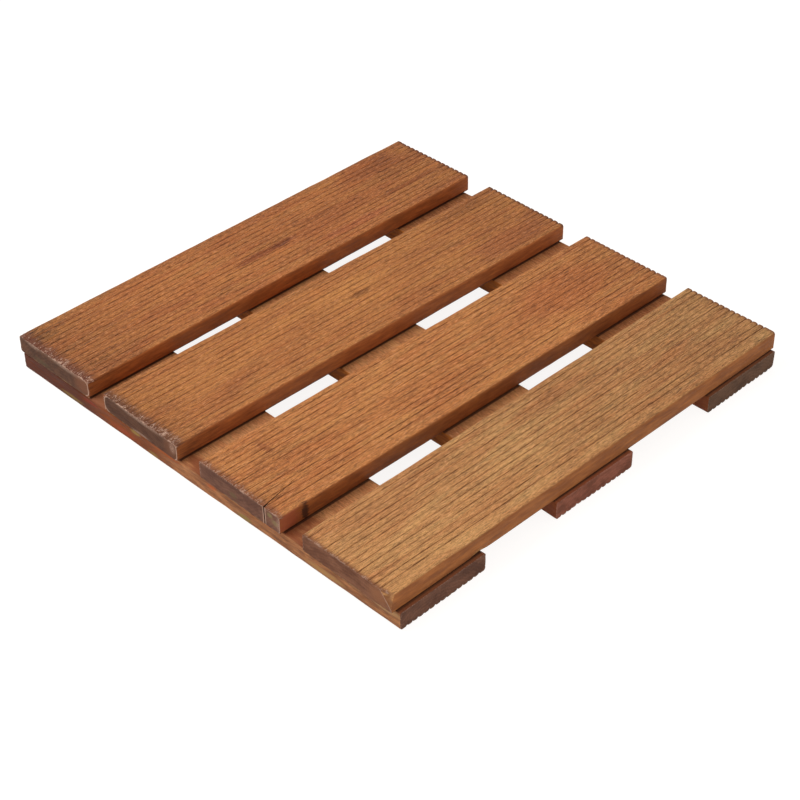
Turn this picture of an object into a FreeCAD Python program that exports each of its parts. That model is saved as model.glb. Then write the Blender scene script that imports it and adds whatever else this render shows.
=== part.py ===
import FreeCAD, Part
import Sketcher
import os

# Garden deck tile: reeded slats laid across reeded battens and stapled together from below.
# Frame: slats along X, battens along Y, +Z up, origin on the ground under the middle of the tile.
# The tile was laid by hand: each board is turned a little out of square about its own middle, and
# the battens, as long as the deck is deep, all stand out a little on its -Y side.
# Lengths are in millimetres, angles in degrees.

doc = FreeCAD.newDocument("deck_tile")
sheet = doc.addObject("Spreadsheet::Sheet", "Sizes")

DRIVING_SIZES = {
    "slat_length": 500,
    "slat_width": 105,
    "slat_thickness": 19,
    "outer_gap": 25.5,
    "middle_gap": 29,
    "batten_width": 100,
    "batten_thickness": 19,
    "batten_overhang": 4,
    "deck_shift": 1.5,
    "batten_inset": 2.5,
    "middle_batten_shift": -7,
    "arris_radius": 3,
    "back_arris_radius": 1.5,
    "groove_pitch": 6.5,
    "groove_width": 3.2,
    "groove_depth": 1.3,
    "rib_shoulder_width": 0.8,
    "rib_shoulder_drop": 0.3,
    "edge_land": 0.4,
    "split_length": 60,
    "split_mouth": 1.2,
    "split_drift": 11,
    "split_from_edge": 19,
    "staple_length": 32,
    "staple_crown": 10.8,
    "staple_bend_radius": 1,
    "staple_point_height": 1.5,
    "staple_sink": 0.5,
    "staple_spacing": 60,
    "staple_stagger": 36,
    "wire_thickness": 1.4,
    "wire_width": 1.6,
    "slat_1_turn": 0.3,
    "slat_2_turn": -0.5,
    "slat_3_turn": -0.45,
    "slat_4_turn": -0.1,
    "batten_left_turn": 0.5,
    "batten_middle_turn": -0.3,
    "batten_right_turn": 0.2,
}

for row, (alias, value) in enumerate(DRIVING_SIZES.items(), start=1):
    sheet.set(f"A{row}", alias)
    sheet.set(f"B{row}", str(value))
    sheet.setAlias(f"B{row}", alias)
doc.recompute()


def size(alias):
    """The present value of a driving size."""
    return float(sheet.get(alias))


# Layout of the tile, written as formulas of the driving sizes

INNER_SLAT_Y = "(Sizes.middle_gap + Sizes.slat_width) / 2"
OUTER_SLAT_Y = "(Sizes.middle_gap / 2 + Sizes.outer_gap + 1.5 * Sizes.slat_width)"
OUTER_BATTEN_X = "(Sizes.slat_length / 2 - Sizes.batten_inset - Sizes.batten_width / 2)"
BATTEN_LENGTH = f"(2 * {OUTER_SLAT_Y} + Sizes.slat_width)"

# The deck and the battens are shifted apart along Y, so that the origin stays under the whole tile.
SLAT_PLACES = {
    "deck_slat_1": f"{OUTER_SLAT_Y} + Sizes.deck_shift",
    "deck_slat_2": f"{INNER_SLAT_Y} + Sizes.deck_shift",
    "deck_slat_3": f"-{INNER_SLAT_Y} + Sizes.deck_shift",
    "deck_slat_4": f"-{OUTER_SLAT_Y} + Sizes.deck_shift",
}
BATTEN_Y = "(Sizes.deck_shift - Sizes.batten_overhang)"
BATTEN_PLACES = {
    "batten_left": f"-{OUTER_BATTEN_X}",
    "batten_middle": "Sizes.middle_batten_shift",
    "batten_right": OUTER_BATTEN_X,
}
TURNS = {
    "deck_slat_1": "Sizes.slat_1_turn",
    "deck_slat_2": "Sizes.slat_2_turn",
    "deck_slat_3": "Sizes.slat_3_turn",
    "deck_slat_4": "Sizes.slat_4_turn",
    "batten_left": "Sizes.batten_left_turn",
    "batten_middle": "Sizes.batten_middle_turn",
    "batten_right": "Sizes.batten_right_turn",
}
SPLIT_SLAT = "deck_slat_3"

# Two staples hold each crossing. They stand on a diagonal: these are their places along the slat
# and across it, from the middle of the crossing.
STAPLE_OFFSETS = (
    ("- Sizes.staple_stagger / 2", "+ Sizes.staple_spacing / 2"),
    ("+ Sizes.staple_stagger / 2", "- Sizes.staple_spacing / 2"),
)
LEG_OFFSET = "(Sizes.staple_crown - Sizes.wire_thickness) / 2"
CROWN_DEPTH = "(Sizes.staple_sink + Sizes.wire_thickness)"
LEG_IN_SLAT = "(Sizes.staple_sink + Sizes.staple_length - Sizes.batten_thickness)"


def origin_plane(body, role):
    """One of the body's own origin planes, found by its role."""
    for feature in body.Origin.OriginFeatures:
        if feature.Role == role:
            return feature
    raise ValueError(f"{body.Label} has no {role}")


def new_sketch(body, name, role, lift=None, turn=None):
    """An empty sketch on an origin plane of the body, lifted off it and turned in it by formulas."""
    sketch = body.newObject("Sketcher::SketchObject", name)
    sketch.AttachmentSupport = [(origin_plane(body, role), "")]
    sketch.MapMode = "FlatFace"
    if lift is not None:
        sketch.setExpression("AttachmentOffset.Base.z", lift)
    if turn is not None:
        sketch.setExpression("AttachmentOffset.Rotation.Angle", turn)
    return sketch


def hold(sketch, name, formula, *constraint):
    """Add a named size to the sketch and bind it to a formula."""
    hold_all(sketch, [(name, formula, constraint)])


def hold_all(sketch, sizes):
    """Add named sizes to the sketch at one go and bind each to its formula."""
    added = sketch.addConstraint([Sketcher.Constraint(*constraint) for _, _, constraint in sizes])
    for index, (name, formula, _) in zip(added, sizes):
        sketch.renameConstraint(index, name)
        sketch.setExpression(f"Constraints.{name}", formula)


def tie(sketch, *constraints):
    """Add constraints that carry no size."""
    sketch.addConstraint([Sketcher.Constraint(*constraint) for constraint in constraints])


def closed_outline(sketch, corners, first=0):
    """Draw straight lines from corner to corner, joined end to end; the first has the number given."""
    points = [FreeCAD.Vector(*corner, 0) for corner in corners]
    ends = points[1:] + points[:1]
    sketch.addGeometry([Part.LineSegment(start, end) for start, end in zip(points, ends)])
    count = len(corners)
    following = [first + (index + 1) % count for index in range(count)]
    tie(sketch, *[("Coincident", first + index, 2, following[index], 1) for index in range(count)])


def centred_rectangle(sketch, width, height, width_formula, height_formula):
    """A rectangle whose lower edge is centred on the sketch's origin."""
    corners = [(-width / 2, 0), (width / 2, 0), (width / 2, height), (-width / 2, height)]
    closed_outline(sketch, corners)
    tie(sketch, ("Horizontal", 0), ("Horizontal", 2), ("Vertical", 1), ("Vertical", 3))
    tie(sketch, ("Symmetric", 0, 1, 0, 2, -1, 1))
    hold(sketch, "across", width_formula, "DistanceX", 0, 1, 0, 2, width)
    hold(sketch, "up", height_formula, "DistanceY", 1, 1, 1, 2, height)


def groove_outline(sketch, face_height, face_formula, first_offset, first_formula):
    """The first groove's section: a V whose two sides ease off into the ribs beside it.

    Its upper side stands clear of the board's face by one groove depth.
    """
    half = size("groove_width") / 2
    depth = size("groove_depth")
    ease = size("rib_shoulder_width")
    drop = size("rib_shoulder_drop")
    bottom = (-first_offset, face_height - depth)
    corners = [
        bottom,
        (bottom[0] + half - ease, face_height - drop),
        (bottom[0] + half, face_height),
        (bottom[0] + half, face_height + depth),
        (bottom[0] - half, face_height + depth),
        (bottom[0] - half, face_height),
        (bottom[0] - half + ease, face_height - drop),
    ]
    closed_outline(sketch, corners)
    tie(sketch, ("Vertical", 2), ("Horizontal", 3), ("Vertical", 4))
    tie(sketch, ("Horizontal", 5, 1, 2, 1), ("Horizontal", 6, 1, 1, 1))
    hold(sketch, "across", "Sizes.groove_width", "DistanceX", 5, 1, 2, 1, 2 * half)
    hold(sketch, "half_across", "Sizes.groove_width / 2", "DistanceX", 5, 1, 0, 1, half)
    hold(sketch, "left_ease", "Sizes.rib_shoulder_width", "DistanceX", 5, 1, 6, 1, ease)
    hold(sketch, "right_ease", "Sizes.rib_shoulder_width", "DistanceX", 1, 1, 2, 1, ease)
    hold(sketch, "drop", "Sizes.rib_shoulder_drop", "DistanceY", 6, 1, 5, 1, drop)
    hold(sketch, "deep", "Sizes.groove_depth", "DistanceY", 0, 1, 5, 1, depth)
    hold(sketch, "clear", "Sizes.groove_depth", "DistanceY", 5, 1, 4, 1, depth)
    hold(sketch, "face", face_formula, "DistanceY", -1, 1, 5, 1, face_height)
    hold(sketch, "first", first_formula, "DistanceX", 0, 1, -1, 1, first_offset)


def slots(sketch, places, along_x, along_y):
    """Equal upright rectangles, each middle held by a pair of formulas for its x and its y."""
    width, height = value_of(along_x), value_of(along_y)
    sizes = []
    for number, (x_formula, y_formula) in enumerate(places):
        left = value_of(x_formula) - width / 2
        low = value_of(y_formula) - height / 2
        corners = [(left, low), (left + width, low), (left + width, low + height), (left, low + height)]
        first = 4 * number
        closed_outline(sketch, corners, first)
        tie(sketch, ("Horizontal", first), ("Horizontal", first + 2))
        tie(sketch, ("Vertical", first + 1), ("Vertical", first + 3))
        sizes += [
            (f"width{number}", along_x, ("DistanceX", first, 1, first, 2, width)),
            (f"height{number}", along_y, ("DistanceY", first + 1, 1, first + 1, 2, height)),
            corner_size(f"x{number}", "DistanceX", first, f"{x_formula} - {along_x} / 2", left),
            corner_size(f"y{number}", "DistanceY", first, f"{y_formula} - {along_y} / 2", low),
        ]
    hold_all(sketch, sizes)


def corner_size(name, kind, line, formula, value):
    """The named size that holds the start of a line at a signed distance from the sketch's origin."""
    if value < 0:
        return (name, f"-({formula})", (kind, line, 1, -1, 1, -value))
    return (name, formula, (kind, -1, 1, line, 1, value))


def value_of(formula):
    """The present value of a formula, as the document works it out."""
    return float(sheet.evalExpression(formula))


def cut(feature, base):
    """Build the document and make sure that a cut took material off what was there before it."""
    doc.recompute()
    if feature.Shape.Volume > base.Shape.Volume - 1e-3:
        raise ValueError(f"{feature.Label} cuts nothing")
    return feature


def make_board(label, length, width, thickness):
    """A board: length along its own X, flat back on Z 0, reeded face on top.

    The arrises of its face are well rounded, those of its back only eased.
    """
    body = doc.addObject("PartDesign::Body", label)
    body.Label = label
    section = new_sketch(body, f"{label}_section", "YZ_Plane")
    centred_rectangle(section, value_of(width), value_of(thickness), width, thickness)
    blank = body.newObject("PartDesign::Pad", f"{label}_blank")
    blank.Profile = section
    blank.SideType = "Symmetric"
    blank.setExpression("Length", length)
    doc.recompute()

    face = round_arrises(body, blank, "face", thickness, f"min(Sizes.arris_radius; 0.45 * {thickness})")
    back = round_arrises(body, face, "back", "0", f"min(Sizes.back_arris_radius; 0.45 * {thickness})")
    cut_reeding(body, back, width, thickness)
    return body


def round_arrises(body, base, side, height, radius):
    """Round the two long edges that lie at a height on the board."""
    corners = []
    for number, edge in enumerate(base.Shape.Edges, start=1):
        start, end = edge.firstVertex().Point, edge.lastVertex().Point
        level = abs(start.z - value_of(height)) < 1e-6 and abs(start.z - end.z) < 1e-6
        outermost = abs(abs(start.y) - base.Shape.BoundBox.YMax) < 1e-6
        if level and outermost and abs(start.y - end.y) < 1e-6:
            corners.append(f"Edge{number}")
    if len(corners) != 2:
        raise ValueError(f"{body.Label} has {len(corners)} edges to round at {height}")
    rounded = body.newObject("PartDesign::Fillet", f"{body.Label}_{side}_arrises")
    rounded.Base = (base, corners)
    rounded.setExpression("Radius", radius)
    doc.recompute()
    return rounded


def cut_reeding(body, base, width, thickness):
    """The row of grooves on the face, as many as fit between the arrises and centred on the board."""
    room = f"({width} - 2 * (Sizes.arris_radius + Sizes.edge_land) - Sizes.groove_width)"
    count = f"floor({room} / Sizes.groove_pitch) + 1"
    first = f"floor({room} / Sizes.groove_pitch) * Sizes.groove_pitch / 2"
    outline = new_sketch(body, f"{body.Label}_groove_outline", "YZ_Plane")
    groove_outline(outline, value_of(thickness), thickness, value_of(first), first)
    groove = body.newObject("PartDesign::Pocket", f"{body.Label}_groove")
    groove.Profile = outline
    groove.SideType = "Symmetric"
    groove.Type = "ThroughAll"
    cut(groove, base)

    reeding = body.newObject("PartDesign::LinearPattern", f"{body.Label}_reeding")
    reeding.Originals = [groove]
    reeding.Direction = (outline, ["H_Axis"])
    reeding.Mode = "Spacing"
    reeding.setExpression("Offset", "Sizes.groove_pitch")
    reeding.setExpression("Occurrences", count)
    body.Tip = reeding
    cut(reeding, groove)


def pocket(body, name, outline, depth, reverse=False):
    """Cut an outline into the body to a depth, or right through it where the depth is None."""
    board = body.Tip
    feature = body.newObject("PartDesign::Pocket", name)
    feature.Profile = outline
    feature.Reversed = reverse
    if depth is None:
        feature.Type = "ThroughAll"
    else:
        feature.setExpression("Length", depth)
    body.Tip = feature
    return cut(feature, board)


def staple_middles(across, along):
    """Formulas for the middle of each staple: crossings by their two places, and both diagonals."""
    middles = []
    for x in across:
        for y in along:
            middles += [(f"{x} {dx}", f"{y} {dy}") for dx, dy in STAPLE_OFFSETS]
    return middles


def make_slat(label, place):
    """A deck slat, grooves up, with blind slots for the staples' legs in its flat back.

    The slots lie square to the tile, so their sketch turns back by as much as the slat is turned.
    """
    body = make_board(label, "Sizes.slat_length", "Sizes.slat_width", "Sizes.slat_thickness")
    legs = []
    for x, y in staple_middles(BATTEN_PLACES.values(), ["0"]):
        legs += [(f"{x} {side} {LEG_OFFSET}", y) for side in "-+"]
    outline = new_sketch(body, f"{label}_leg_slots", "XY_Plane", turn=f"-{TURNS[label]}")
    slots(outline, legs, "Sizes.wire_thickness", "Sizes.wire_width")
    pocket(body, f"{label}_legs", outline, LEG_IN_SLAT, reverse=True)
    if label == SPLIT_SLAT:
        cut_split(body)
    body.setExpression("Placement.Base.y", place)
    body.setExpression("Placement.Base.z", "Sizes.batten_thickness")
    body.setExpression("Placement.Rotation.Angle", TURNS[label])
    return body


def cut_split(body):
    """The drying split: a thin wedge through the slat, open at its -X end, drifting off the grain."""
    end = size("slat_length") / 2
    edge = -size("slat_width") / 2 + size("split_from_edge")
    half = size("split_mouth") / 2
    tip = (-end + size("split_length"), edge + size("split_drift"))
    wedge = new_sketch(body, f"{body.Label}_split_outline", "XY_Plane")
    closed_outline(wedge, [(-end, edge + half), (-end, edge - half), tip])
    tie(wedge, ("Vertical", 0))
    hold(wedge, "end", "Sizes.slat_length / 2", "DistanceX", 0, 2, -1, 1, end)
    hold(wedge, "mouth", "Sizes.split_mouth", "DistanceY", 0, 2, 0, 1, 2 * half)
    hold(wedge, "length", "Sizes.split_length", "DistanceX", 0, 2, 1, 2, size("split_length"))
    drift = "Sizes.split_drift + Sizes.split_mouth / 2"
    hold(wedge, "drift", drift, "DistanceY", 0, 2, 1, 2, size("split_drift") + half)
    side = "Sizes.slat_width / 2 - Sizes.split_from_edge + Sizes.split_mouth / 2"
    hold(wedge, "side", side, "DistanceY", 0, 2, -1, 1, half - edge)
    pocket(body, f"{body.Label}_split", wedge, None, reverse=True)


def make_batten(label, place):
    """A batten, grooves down, with slots for the staples' legs and dents in its ribs for the crowns.

    As on the slats, the slots and dents lie square to the tile.
    """
    body = make_board(label, BATTEN_LENGTH, "Sizes.batten_width", "Sizes.batten_thickness")
    crossings = [f"{place} - {BATTEN_Y}" for place in SLAT_PLACES.values()]
    middles = [(y, x) for x, y in staple_middles(["0"], crossings)]
    turn = TURNS[label]
    crowns = new_sketch(body, f"{label}_crown_dents", "XY_Plane", "Sizes.batten_thickness", turn)
    slots(crowns, middles, "Sizes.wire_width", "Sizes.staple_crown")
    pocket(body, f"{label}_crowns", crowns, CROWN_DEPTH)
    legs = []
    for along, across in middles:
        legs += [(along, f"{across} {side} {LEG_OFFSET}") for side in "-+"]
    outline = new_sketch(body, f"{label}_leg_slots", "XY_Plane", "Sizes.batten_thickness", turn)
    slots(outline, legs, "Sizes.wire_width", "Sizes.wire_thickness")
    pocket(body, f"{label}_legs", outline, None)

    # Turned over about the diagonal of the deck: its own X runs along Y, and its reeded face looks down.
    # A turn of that diagonal by half an angle turns the batten by all of it.
    body.Placement.Rotation = FreeCAD.Rotation(FreeCAD.Vector(1, 1, 0), 180)
    body.setExpression("Placement.Rotation.Axis.x", f"cos(45 + {turn} / 2)")
    body.setExpression("Placement.Rotation.Axis.y", f"sin(45 + {turn} / 2)")
    body.setExpression("Placement.Base.x", place)
    body.setExpression("Placement.Base.y", BATTEN_Y)
    body.setExpression("Placement.Base.z", "Sizes.batten_thickness")
    return body


def make_staple():
    """A wire staple, legs up, with the outside of its crown on Z 0 and chisel points on its legs."""
    body = doc.addObject("PartDesign::Body", "staple_pattern")
    body.Label = "staple_pattern"
    crown = size("staple_crown") / 2
    wire = size("wire_thickness")
    length = size("staple_length")
    shoulder = length - size("staple_point_height")
    outline = new_sketch(body, "staple_outline", "XZ_Plane")
    corners = [
        (-crown, 0),
        (crown, 0),
        (crown, length),
        (crown - wire, shoulder),
        (crown - wire, wire),
        (-crown + wire, wire),
        (-crown + wire, shoulder),
        (-crown, length),
    ]
    closed_outline(outline, corners)
    tie(outline, ("Horizontal", 0), ("Horizontal", 4), ("Symmetric", 0, 1, 0, 2, -1, 1))
    tie(outline, *[("Vertical", line) for line in (1, 3, 5, 7)])
    hold(outline, "crown", "Sizes.staple_crown", "DistanceX", 0, 1, 0, 2, 2 * crown)
    hold(outline, "right_wire", "Sizes.wire_thickness", "DistanceX", 4, 1, 0, 2, wire)
    hold(outline, "left_wire", "Sizes.wire_thickness", "DistanceX", 0, 1, 4, 2, wire)
    hold(outline, "crown_wire", "Sizes.wire_thickness", "DistanceY", 0, 2, 4, 1, wire)
    hold(outline, "right_length", "Sizes.staple_length", "DistanceY", 0, 2, 1, 2, length)
    hold(outline, "left_length", "Sizes.staple_length", "DistanceY", 0, 1, 6, 2, length)
    hold(outline, "right_point", "Sizes.staple_point_height", "DistanceY", 2, 2, 1, 2, length - shoulder)
    hold(outline, "left_point", "Sizes.staple_point_height", "DistanceY", 6, 1, 6, 2, length - shoulder)
    bent = body.newObject("PartDesign::Pad", "staple_wire")
    bent.Profile = outline
    bent.SideType = "Symmetric"
    bent.setExpression("Length", "Sizes.wire_width")
    doc.recompute()

    bends = []
    for number, edge in enumerate(bent.Shape.Edges, start=1):
        start, end = edge.firstVertex().Point, edge.lastVertex().Point
        if abs(start.y - end.y) > wire / 2 and abs(start.z) + abs(end.z) < wire / 2:
            bends.append(f"Edge{number}")
    rounded = body.newObject("PartDesign::Fillet", "staple_bends")
    rounded.Base = (bent, bends)
    rounded.setExpression("Radius", "min(Sizes.staple_bend_radius; 0.9 * Sizes.wire_thickness)")
    body.Tip = rounded
    doc.recompute()
    return body


def make_staples():
    """Two staples at each crossing, driven up through the battens with their crowns just under the ribs."""
    pattern = make_staple()
    copies = []
    for x, y in staple_middles(BATTEN_PLACES.values(), SLAT_PLACES.values()):
        copy = doc.addObject("App::Link", f"staple_{len(copies) + 1}")
        copy.LinkedObject = pattern
        copy.setExpression("Placement.Base.x", x)
        copy.setExpression("Placement.Base.y", y)
        copy.setExpression("Placement.Base.z", "Sizes.staple_sink")
        copies.append(copy)
    group = doc.addObject("Part::Compound", "staples")
    group.Label = "staples"
    group.Links = copies
    return group


subparts = [make_slat(label, place) for label, place in SLAT_PLACES.items()]
subparts += [make_batten(label, place) for label, place in BATTEN_PLACES.items()]
subparts.append(make_staples())
doc.recompute()

for item in doc.Objects:
    if "Invalid" in item.State or "Error" in item.State:
        raise ValueError(f"{item.Label} failed: {item.State}")
for subpart in subparts:
    if subpart.Shape.isNull() or not subpart.Shape.isValid():
        raise ValueError(f"{subpart.Label} has no valid shape")

os.makedirs("parts", exist_ok=True)
for subpart in subparts:
    subpart.Shape.exportStep(f"parts/{subpart.Label}.step")
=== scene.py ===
import math

import bmesh
import bpy
import numpy as np
from mathutils import Matrix, Vector


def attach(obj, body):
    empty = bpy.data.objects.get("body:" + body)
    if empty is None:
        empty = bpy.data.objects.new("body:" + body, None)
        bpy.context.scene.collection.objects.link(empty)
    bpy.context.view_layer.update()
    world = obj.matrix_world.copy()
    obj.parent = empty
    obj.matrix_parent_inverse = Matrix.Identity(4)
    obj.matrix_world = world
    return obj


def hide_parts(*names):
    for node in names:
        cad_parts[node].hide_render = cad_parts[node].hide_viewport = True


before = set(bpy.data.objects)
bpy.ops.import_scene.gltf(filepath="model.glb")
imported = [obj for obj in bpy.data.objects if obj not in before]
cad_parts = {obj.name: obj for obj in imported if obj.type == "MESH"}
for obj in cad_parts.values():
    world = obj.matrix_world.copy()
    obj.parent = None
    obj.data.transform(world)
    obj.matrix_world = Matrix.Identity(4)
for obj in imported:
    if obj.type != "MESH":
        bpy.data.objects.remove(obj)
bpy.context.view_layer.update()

# Looks of a slatted deck tile: four reeded slats on three reeded battens, stapled from below.
# Each board is made in its own space: u along it, v across it, w up from its flat back (0) to its
# reeded face. Board lengths are in millimetres until a mesh is made; everything else is in metres.

MM = 0.001
SEED = 20

# A board's section: thickness, radius of its arrises, and cup of a slat's face and back
THICKNESS = 19.0
ARRIS = {"slat_1": 2.2, "slat_2": 2.2, "slat_3": 2.2, "slat_4": 2.8}
BATTEN_ARRIS = 2.8
BACK_ARRIS = {"slat_4": 0.7}
OTHER_BACK_ARRIS = 1.5
CUP_FACE = 0.12
CUP_BACK = {"slat_1": 0.5, "slat_2": 0.5, "slat_3": 0.5, "slat_4": 0.1}
PITCH = 6.5
GROOVE_DEPTH = 1.3

# Half a groove's section: distance from its middle and share of its depth
GROOVE_HALF = ((0.0, 1.0), (0.4, 0.6), (0.8, 0.25), (1.2, 0.13), (1.6, 0.05))
RIB_POINTS = (2.5, 3.25, 4.0)

# Mesh of a board: points round its section, sections along it, and rings of its sawn faces,
# as shares of the way from the rim to the middle
SIDE_POINTS, BACK_POINTS = 8, 26
ARRIS_ANGLES = np.array([15, 30, 45, 60, 75])
STATION_STEP = 2.1
END_STATIONS = np.array([0.0, 0.9, 1.9, 3.2])
END_ZONE = 4.8
SAWN_RINGS = (0.05, 0.16, 0.34, 0.58, 0.86)
SHARP_ANGLE = math.radians(38)

# Places of a board's materials in its mesh
TIMBER, END_GRAIN, CRACK = 0, 1, 2

SLATS = {
    "slat_1": {"node": "deck_slat_1", "y": 199.0, "turn": 0.3},
    "slat_2": {"node": "deck_slat_2", "y": 68.5, "turn": -0.5},
    "slat_3": {"node": "deck_slat_3", "y": -65.5, "turn": -0.45},
    "slat_4": {"node": "deck_slat_4", "y": -196.0, "turn": -0.1},
}
BATTENS = {
    "left_batten": {"node": "batten_left", "x": -197.5, "turn": 0.5},
    "middle_batten": {"node": "batten_middle", "x": -7.0, "turn": -0.3},
    "right_batten": {"node": "batten_right", "x": 197.5, "turn": 0.2},
}
BATTEN_Y = -2.5
SLAT_SIZE = (500.0, 105.0, 15)
BATTEN_SIZE = (500.0, 100.0, 14)

# Share of the groove depth kept: in the middle and at the ends of the slats, then of the battens
SLAT_CUT, SLAT_END_CUT, BATTEN_CUT, BATTEN_END_CUT = 0.62, 1.1, 1.0, 1.15
END_CUT_REACH = 9

# Grooves wander sideways, vary in depth, and are wider at the ends
GROOVE_WANDER = 0.2
DEPTH_SPREAD, DEPTH_LIMITS = 0.42, (0.3, 1.2)
SLAT_WIDENING, BATTEN_WIDENING, WIDENING_REACH = 0.2, 0.3, 4

# Depths of wear, in millimetres, and how much each varies
RIB_WEAR, RIB_SPREAD, FIBRE_SPREAD = 0.05, 0.06, 0.05
ARRIS_WEAR, ARRIS_SPREAD, SKIN_SPREAD = 0.16, 0.16, 0.03
RIM_WEAR, RIM_SPREAD, RIM_REACH = 0.04, 0.1, 1.2
SAWN_WEAR, SAWN_SPREAD, SAWN_EDGE_WEAR = 0.07, 0.07, 0.05

# How far the saw tore the fibres of each slat's -u end, and which side rims of that end it lifted
TORN_REACH = {"slat_1": 9.0, "slat_2": 8.5, "slat_3": 5.5, "slat_4": 3.0}
LIFTED_RIMS = {"slat_1": (-1,), "slat_2": (-1, 1), "slat_3": (-1,), "slat_4": (-1,)}

# Reach of the tearing on the battens, and the reach at which it is as deep as TORN_WEAR
CLEAN_REACH, FULL_REACH = 1.5, 9
TORN_WEAR, TORN_SPREAD, TORN_BRIDGING = 0.24, 0.26, 0.6

# Width of the painted shadow line on the battens in front of each slat's foot
CONTACT_SHADE_WIDTH = {"slat_1": 0.4, "slat_2": 0.4, "slat_3": 1.2, "slat_4": 0.2}

# Strength of single grooves, counted from the board's -v edge: some are hardly cut at all
FAINT_GROOVES = {
    "slat_1": {14: 0.6},
    "slat_3": {0: 0.45, 1: 1.15, 2: 1.2},
    "slat_4": {0: 0.12, 1: 1.25, 2: 1.2, 3: 0.9},
}

# Chips and bruises: place (u, v, w), reach (u, v, w) and depth
CHIPS = {
    "slat_4": [((-150, -52, 1), (7, 3, 2.5), 1.6)],
    "slat_3": [((-226, -52, 11), (9, 3, 4), 0.5)],
    "slat_1": [((249, 40, 19), (3, 6, 3), 0.5)],
    "right_batten": [((-249, 48, 17), (3, 4, 4), 1.2), ((-249, 10, 19), (2, 9, 2), 0.6)],
    "middle_batten": [((-249, -20, 19), (2, 12, 2), 0.6)],
}

# The drying split: board, mouth (u, v), inner end (u, v), width of the mouth, sideways lean and waver
SPLIT = {
    "board": "slat_3", "mouth": (-250, -32.6), "tip": (-202, -23.4), "width": 1.2,
    "lean": 0.8, "waver": 0.45, "stations": 26,
}

# A splinter has come off one corner: the corners of the broken face, and a point outside the board
SPLINTER = {
    "board": "slat_4", "corners": ((-250, -39, 18.8), (-250, -52.5, 2.5), (-245.5, -52.5, 18.8)),
    "outside": (-253.0, -56.0, 22.5), "steps": 9, "roughness": 0.45,
}

# Staple crowns dent the ribs of the battens: places across and along a batten from each crossing,
# and size (u, v, w) and unevenness of a dent
STAPLE_SPOTS = ((30, -18), (-30, 18))
DENT = (2.2, 11.4, 2.0)
DENT_SPREAD = 0.15

# Half the range of Noise, which reaches past the ends of every board
NOISE_RANGE = 300


class Noise:
    """Smooth seeded noise, about -1 to 1, over two directions."""

    def __init__(self, rng, along, across, octaves=1):
        self.layers = []
        for octave in range(octaves):
            steps = (along / 2**octave, across / 2**octave)
            shape = tuple(int(2 * NOISE_RANGE / step) + 4 for step in steps)
            self.layers.append((steps, 0.55**octave, rng.uniform(-1, 1, shape)))

    def __call__(self, a, b):
        total = 0.0
        for steps, gain, grid in self.layers:
            x = (np.asarray(a, float) + NOISE_RANGE) / steps[0]
            y = (np.asarray(b, float) + NOISE_RANGE) / steps[1]
            i, j = np.floor(x).astype(int), np.floor(y).astype(int)
            fx, fy = x - i, y - j
            fx, fy = fx * fx * (3 - 2 * fx), fy * fy * (3 - 2 * fy)
            low = grid[i, j] * (1 - fx) + grid[i + 1, j] * fx
            high = grid[i, j + 1] * (1 - fx) + grid[i + 1, j + 1] * fx
            total = total + gain * (low * (1 - fy) + high * fy)
        return total


def outline(width, count, arris, back_arris):
    """The board's section, point by point: v, w, outward normal, groove middle, share of its depth."""
    half = width / 2
    rows = []

    def add(v, w, nv, nw, groove=None, share=0.0):
        rows.append((v, w, nv, nw, -1 if groove is None else groove, share))

    def corner(side, at_face, start):
        radius = arris if at_face else back_arris
        middle = (side * (half - radius), THICKNESS - radius if at_face else radius)
        for angle in np.radians(start - ARRIS_ANGLES):
            nv, nw = math.cos(angle), math.sin(angle)
            add(middle[0] + radius * nv, middle[1] + radius * nw, nv, nw)

    first = -(count - 1) / 2 * PITCH
    sides = [(-t, d) for t, d in GROOVE_HALF[:0:-1]] + list(GROOVE_HALF)
    for w in np.linspace(back_arris, THICKNESS - arris, SIDE_POINTS):
        add(-half, w, -1, 0)
    corner(-1, True, 180)
    for groove in range(count):
        middle = first + groove * PITCH
        for t, d in sides:
            add(middle + t, THICKNESS, 0, 1, groove, d)
        if groove < count - 1:
            for t in RIB_POINTS:
                add(middle + t, THICKNESS, 0, 1)
    corner(1, True, 90)
    for w in np.linspace(THICKNESS - arris, back_arris, SIDE_POINTS):
        add(half, w, 1, 0)
    corner(1, False, 0)
    for v in np.linspace(half - back_arris, -half + back_arris, BACK_POINTS):
        add(v, 0, 0, -1)
    corner(-1, False, -90)
    return np.array(rows)


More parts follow.
